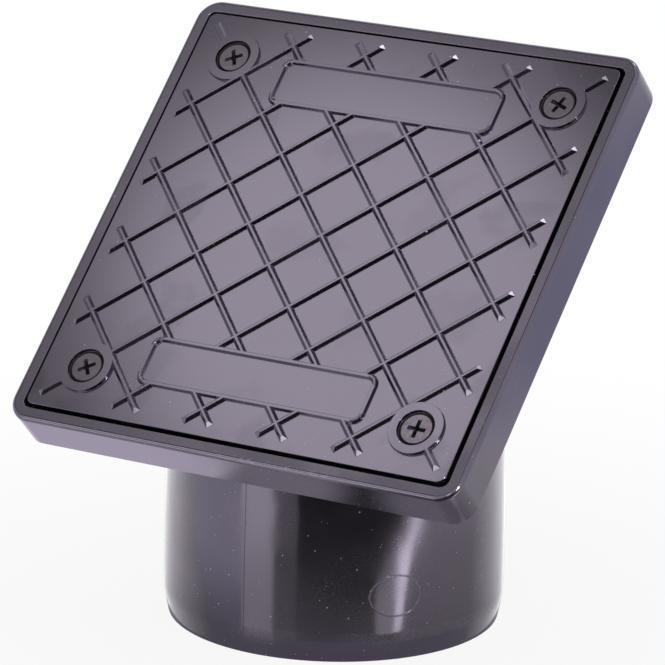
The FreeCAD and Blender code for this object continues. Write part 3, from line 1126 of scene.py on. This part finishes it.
@dataclass(frozen=True)
class FloorCard:
    """A card on the floor that the spigot's gloss mirrors as an upright band.

    Attributes:
        name: the card's name.
        lift: how high above the floor it lies.
        rows: its cross-lines, from the spigot outwards, each told by where the spigot mirrors it: how far
            out it lies in millimetres, where it starts and stops round the spigot in degrees from the side
            nearest the camera, and its brightness at the start and the stop, where 1 is white.
        steps: facets along a cross-line.
    """

    name: str
    lift: float
    rows: tuple[tuple[float, float, float, float, float], ...]
    steps: int = 8

    def build(self, radius: float, right: Vector, forward: Vector) -> Piece:
        """Lays the card down.

        Args:
            radius: the spigot's radius.
            right: the level direction to the camera's right.
            forward: the level direction towards the camera.

        Returns:
            The card, which only gloss shows.
        """
        drawing = bmesh.new()
        glow = drawing.verts.layers.float.new("glow")
        lines = []
        for reach, start, stop, first, last in self.rows:
            line = []
            for step in range(self.steps + 1):
                turn = math.radians(start + (stop - start) * step / self.steps)
                facing = right * math.sin(turn) + forward * math.cos(turn)
                mirrored = right * math.sin(2 * turn) + forward * math.cos(2 * turn)
                flat = facing * radius + mirrored * (reach * MM)
                vertex = drawing.verts.new((flat.x, flat.y, self.lift))
                vertex[glow] = first + (last - first) * step / self.steps
                line.append(vertex)
            lines.append(line)
        stitch(drawing, lines, closed=False)
        material, pen = new_material(self.name)
        strength = pen.add("Attribute", {"attribute_name": "glow"}).outputs["Fac"]
        light = pen.add("Emission", Color=(1, 1, 1, 1), Strength=strength)
        pen.add("OutputMaterial", Surface=light.outputs[0])
        card = new_piece(self.name, drawing, [material])
        card.visible_camera = card.visible_diffuse = card.visible_shadow = False
        return card


@dataclass
class Studio:
    """White surroundings with a dark camera side, a soft key light and the photograph's viewpoint."""

    spigot_radius: float
    skirt_edge: Vector
    azimuth: float = 30.75
    elevation: float = 15.42
    roll: float = 1.11
    target: Triple = (-2.2 * MM, 0.0, 92.07 * MM)
    distance: float = 1457 * MM
    lens: float = 246.96
    sensor: float = 36.0
    floor_size: float = 10.0
    floor_colour: Colour = (0.84, 0.84, 0.84)
    shadow_reach: Pair = (0.05, 0.35)
    shadow_lift: float = 0.90
    # Painted shadow that gloss sees on the floor near the object: where it fades out, and its brightness nearest
    painted_shadow_reach: Pair = (0.055, 0.16)
    painted_shadow_lift: float = 0.42
    mirror_tint: Colour = (0.90, 0.91, 1.0)
    cloth_place: float = 950 * MM
    cloth_rise: float = 420 * MM
    cloth_half_width: float = 330 * MM
    cloth_tones: tuple[Colour, Colour] = ((0.02, 0.02, 0.022), (0.04, 0.04, 0.043))
    cloth_weave: float = 3 * MM
    surround: float = 0.45
    plate_cards: tuple[StudioCard, ...] = (
        StudioCard("key_softbox", (-0.474, -0.281, 0.834), 1.0, (1.0, 1.0), (2.0, 0.30), (0.16, 0.39)),
        StudioCard("left_softbox", (-0.493, -0.780, 0.330), 1.2, (0.50, 0.40), (2.2, 1.4), (0.4, 1.0)),
        StudioCard("top_softbox", (0.073, 0.501, 0.862), 1.1, (0.20, 0.20), (8.0, 6.0), (0.0, 1.0)),
        StudioCard("front_softbox", (0.372, -0.897, 0.234), 0.85, (0.20, 0.20), (6.0, 4.0), (0.0, 1.0)),
        StudioCard("glint_lamp", (0.791, -0.493, 0.359), 1.0, (0.20, 0.20), (110.0, 80.0), (0.4, 1.0),
                   mirror_only=True),
    )
    fill_rows: tuple[tuple[str, float, float, float], ...] = (
        ("skirt_fill_left", -0.62, 132 * MM, 1.38),
        ("skirt_fill_middle", 0.20, 56 * MM, 0.50),
        ("skirt_fill_right", 0.86, 56 * MM, 0.38),
    )
    fill_depth: float = 26 * MM
    fill_tint: Colour = (1.01, 0.95, 1.10)
    fill_forward: float = 3.5 * MM
    fill_drop: float = 1 * MM
    fill_fade: Pair = (0.35, 1.0)
    bounce_lift: float = 2 * MM
    bounce_places: tuple[Pair, ...] = ((3.6, 7.5), (4.0, 8.0))
    bounce_cards: tuple[StudioCard, ...] = (
        StudioCard("edge_bounce", DOWN, 0.0, (560 * MM, 500 * MM), (3.2, 2.6), (0.8, 1.0), mirror_only=True),
        StudioCard("shade_card", DOWN, 0.0, (700 * MM, 700 * MM), (0.80, 0.9), (0.6, 1.0), (0.78, 0.78, 1.0),
                   mirror_only=True),
    )
    floor_cards: tuple[FloorCard, ...] = (
        FloorCard("band_card", 1.0 * MM, (
            (3, -31.8, -20.4, 0.42, 0.42), (22, -31.8, -20.4, 0.90, 0.90), (70, -31.8, -20.4, 1.04, 1.04),
            (180, -31.8, -20.4, 1.52, 1.52), (420, -31.8, -20.4, 1.50, 1.50))),
        FloorCard("dim_card", 1.0 * MM, (
            (8, -20.4, -12.5, 0.40, 0.40), (70, -20.4, -12.5, 0.29, 0.29), (180, -20.4, -12.5, 0.40, 0.40),
            (420, -20.4, -12.5, 0.42, 0.42))),
        FloorCard("dark_card", 1.0 * MM, (
            (8, -12.5, 21.0, 0.32, 0.32), (68, -12.5, 22.0, 0.12, 0.12), (117, -12.5, 22.5, 0.10, 0.10),
            (170, -12.5, 26.5, 0.05, 0.05), (900, -12.5, 28.0, 0.03, 0.03))),
        FloorCard("glow_card", 1.4 * MM, (
            (18, 14.5, 21.0, 1.00, 1.00), (68, 14.0, 22.0, 0.95, 0.95), (125, 19.0, 23.0, 0.45, 0.45))),
        FloorCard("streak_card", 1.8 * MM, (
            (20, 20.2, 22.8, 2.6, 2.6), (68, 21.2, 24.2, 3.9, 3.9), (117, 21.8, 26.3, 5.0, 5.0),
            (170, 26.5, 31.0, 3.4, 3.4), (260, 28.0, 33.0, 2.4, 2.4))),
        FloorCard("left_edge_card", 1.2 * MM, (
            (-3, -48.0, -86.0, 0.40, 1.5), (60, -48.0, -86.0, 0.62, 1.7), (120, -54.0, -86.0, 0.85, 1.9),
            (240, -54.0, -86.0, 0.95, 2.0), (420, -54.0, -86.0, 0.95, 2.0))),
        FloorCard("right_edge_card", 1.2 * MM, (
            (-3, 54.0, 86.0, 0.45, 1.5), (60, 54.0, 86.0, 0.60, 1.8), (120, 54.0, 86.0, 0.70, 2.0),
            (240, 54.0, 86.0, 0.95, 2.1), (420, 54.0, 86.0, 0.95, 2.1))),
        FloorCard("grey_card", 1.0 * MM, (
            (8, 22.0, 60.0, 0.45, 0.45), (117, 25.0, 60.0, 0.65, 0.65), (170, 29.0, 60.0, 0.80, 0.80),
            (420, 32.0, 60.0, 0.90, 0.90))),
    )

    def build(self) -> None:
        """Sets up floor, cards, lights, world and camera."""
        self.floor()
        self.camera_cloth()
        right, forward = self.ground_axes()
        for card in self.floor_cards:
            card.build(self.spigot_radius, right, forward)
        low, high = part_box("cover")
        for card in self.plate_cards:
            card.build((low + high) / 2)
        self.skirt_cards()
        self.world()
        self.camera()

    def skirt_cards(self) -> None:
        """Lays the cards that the frame's skirt and front edge mirror."""
        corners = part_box("body")
        for name, share, width, glow in self.fill_rows:
            place = self.skirt_edge + Vector((corners[1].x * share, -self.fill_forward, 0))
            StudioCard(name, DOWN, self.fill_drop, (width, self.fill_depth), (glow, glow), self.fill_fade,
                       self.fill_tint, mirror_only=True).build(place)
        for card, corner, (across, along) in zip(self.bounce_cards, corners, self.bounce_places):
            card.build(Vector((corner.x * across, corner.y * along, self.bounce_lift)))

    def ground_axes(self) -> tuple[Vector, Vector]:
        """The level directions to the camera's right and towards the camera."""
        turn = math.radians(self.azimuth)
        return Vector((math.cos(turn), math.sin(turn), 0)), Vector((math.sin(turn), -math.cos(turn), 0))

    def camera(self) -> None:
        """Places the camera at the photograph's viewpoint."""
        data = bpy.data.cameras.new("photo_camera")
        data.sensor_width = self.sensor
        data.lens = self.lens
        camera = bpy.data.objects.new("photo_camera", data)
        right, forward = self.ground_axes()
        lift = math.radians(self.elevation)
        back = forward * math.cos(lift) + Vector((0, 0, math.sin(lift)))
        place = Matrix((right, back.cross(right), back)).transposed().to_4x4()
        origin = Matrix.Translation(Vector(self.target) + back * self.distance)
        camera.matrix_world = origin @ place @ Matrix.Rotation(math.radians(self.roll), 4, "Z")
        bpy.context.scene.collection.objects.link(camera)
        bpy.context.scene.camera = camera
        bpy.context.scene.view_settings.view_transform = "Standard"

    def floor(self) -> None:
        """Lays the pale floor."""
        sheet = flat_sheet(self.floor_size, self.floor_size)
        new_piece("studio_floor", sheet, [self.floor_paint()])

    def camera_cloth(self) -> None:
        """Hangs a dark cloth on the camera's side, which the ribs' front walls mirror."""
        right, forward = self.ground_axes()
        foot = forward * self.cloth_place
        side = right * self.cloth_half_width
        rise = Vector((0, 0, self.cloth_rise))
        drawing = bmesh.new()
        corners = (foot - side, foot + side, foot + side + rise, foot - side + rise)
        drawing.faces.new([drawing.verts.new(corner) for corner in corners])
        material, pen = new_material("camera_cloth")
        place = pen.add("TexCoord").outputs["Object"]
        dark, light = self.cloth_tones
        tone = pen.blend(pen.noise(place, self.cloth_weave), (*dark, 1), (*light, 1))
        pen.add("OutputMaterial", Surface=pen.add("BsdfDiffuse", Color=tone).outputs[0])
        cloth = new_piece("camera_cloth", drawing, [material])
        cloth.visible_camera = cloth.visible_shadow = False

    def floor_paint(self) -> Material:
        """Pale floor that keeps the shadow near the object and runs out to white; to gloss it shows a painted
        shadow, darker near the object.

        Returns:
            The material.
        """
        material, pen = new_material("studio_floor")
        place = pen.add("TexCoord").outputs["Object"]
        away = pen.add("VectorMath", {"operation": "LENGTH"}, Vector=place).outputs["Value"]
        path = pen.add("LightPath").outputs
        seen = pen.ramp(away, *self.shadow_reach, self.shadow_lift, 1.0)
        # Painted shadow: to gloss the floor is darker near the object
        mirrored = pen.ramp(away, *self.painted_shadow_reach, self.painted_shadow_lift, 1.0)
        reflected = pen.math("MAXIMUM", path["Is Glossy Ray"], path["Is Transmission Ray"])
        share = pen.math("MAXIMUM", pen.math("MULTIPLY", seen, path["Is Camera Ray"]), reflected)
        painted_shadow = pen.math("MULTIPLY", pen.math("SUBTRACT", 1.0, mirrored), reflected)
        paint = pen.add("BsdfDiffuse", Color=(*self.floor_colour, 1))
        tint = pen.blend(reflected, (1, 1, 1, 1), (*self.mirror_tint, 1))
        glow = pen.add("Emission", Color=tint, Strength=pen.math("SUBTRACT", 1.0, painted_shadow))
        mix = pen.add("MixShader", {}, share, paint.outputs[0], glow.outputs[0])
        pen.add("OutputMaterial", Surface=mix.outputs[0])
        return material

    def world(self) -> None:
        """Shows the surroundings white, and lights the object with less."""
        world = bpy.data.worlds.new("studio")
        world.use_nodes = True
        bpy.context.scene.world = world
        pen = NodePen(world.node_tree)
        path = pen.add("LightPath").outputs
        reflected = pen.math("MAXIMUM", path["Is Glossy Ray"], path["Is Transmission Ray"])
        seen = pen.math("MAXIMUM", path["Is Camera Ray"], reflected)
        tint = pen.blend(reflected, (1, 1, 1, 1), (*self.mirror_tint, 1))
        sky = pen.add("Background", Color=tint, Strength=pen.ramp(seen, 0.0, 1.0, self.surround, 1.0))
        pen.add("OutputWorld", Surface=sky.outputs[0])


def main() -> None:
    """Builds the object piece by piece, then the studio round it."""
    logging.basicConfig(level=logging.INFO, format="%(message)s")
    axes = CoverAxes.of_frame()
    worn = (Scuff.of_rim(axes),)
    plastic = MouldedPlastic("moulded_plastic", smudged_roughness=0.15, smudge_levels=(0.50, 0.64),
                             empty_share=0.45, speck_spacing=3.2 * MM).build()
    handled = MouldedPlastic("handled_plastic", clean_roughness=0.12, smudged_roughness=0.18,
                             scratch_level=0.695, empty_share=0.30, speck_spacing=1.9 * MM,
                             speck_radius=0.20 * MM, scuffs=worn).build()
    edges = MouldedPlastic("moulded_edges", scratch_level=0.62, clean_roughness=0.14, scuffs=worn).build()
    land = MouldedPlastic("dulled_plastic", scratch_level=0.665, clean_roughness=0.26, smudged_roughness=0.38,
                          scuffs=worn).build()
    # The last finish is the painted shade for the wells and the screws' recesses and rims
    rubber, steel, painted_shade = (finish.build() for finish in (SEAL_RUBBER, SCREW_STEEL, PAINTED_SHADE))
    body = BodyMoulding(axes, handled, edges, land)
    assemblies = [body, CoverMoulding(axes, plastic, painted_shade), CoverSeal(rubber)]
    assemblies += [CoverScrew(corner, axes, steel, painted_shade) for corner in Corner]
    for assembly in assemblies:
        for piece in assembly.build():
            LOG.info("%s: %d faces", piece.name, len(piece.data.polygons))
    spigot = next(mount for mount in frame["record"]["mounts"] if mount["name"] == "spigot")
    Studio(spigot["dims"]["r_mm"] * MM, body.skirt_edge()).build()


if __name__ == "__main__":
    main()
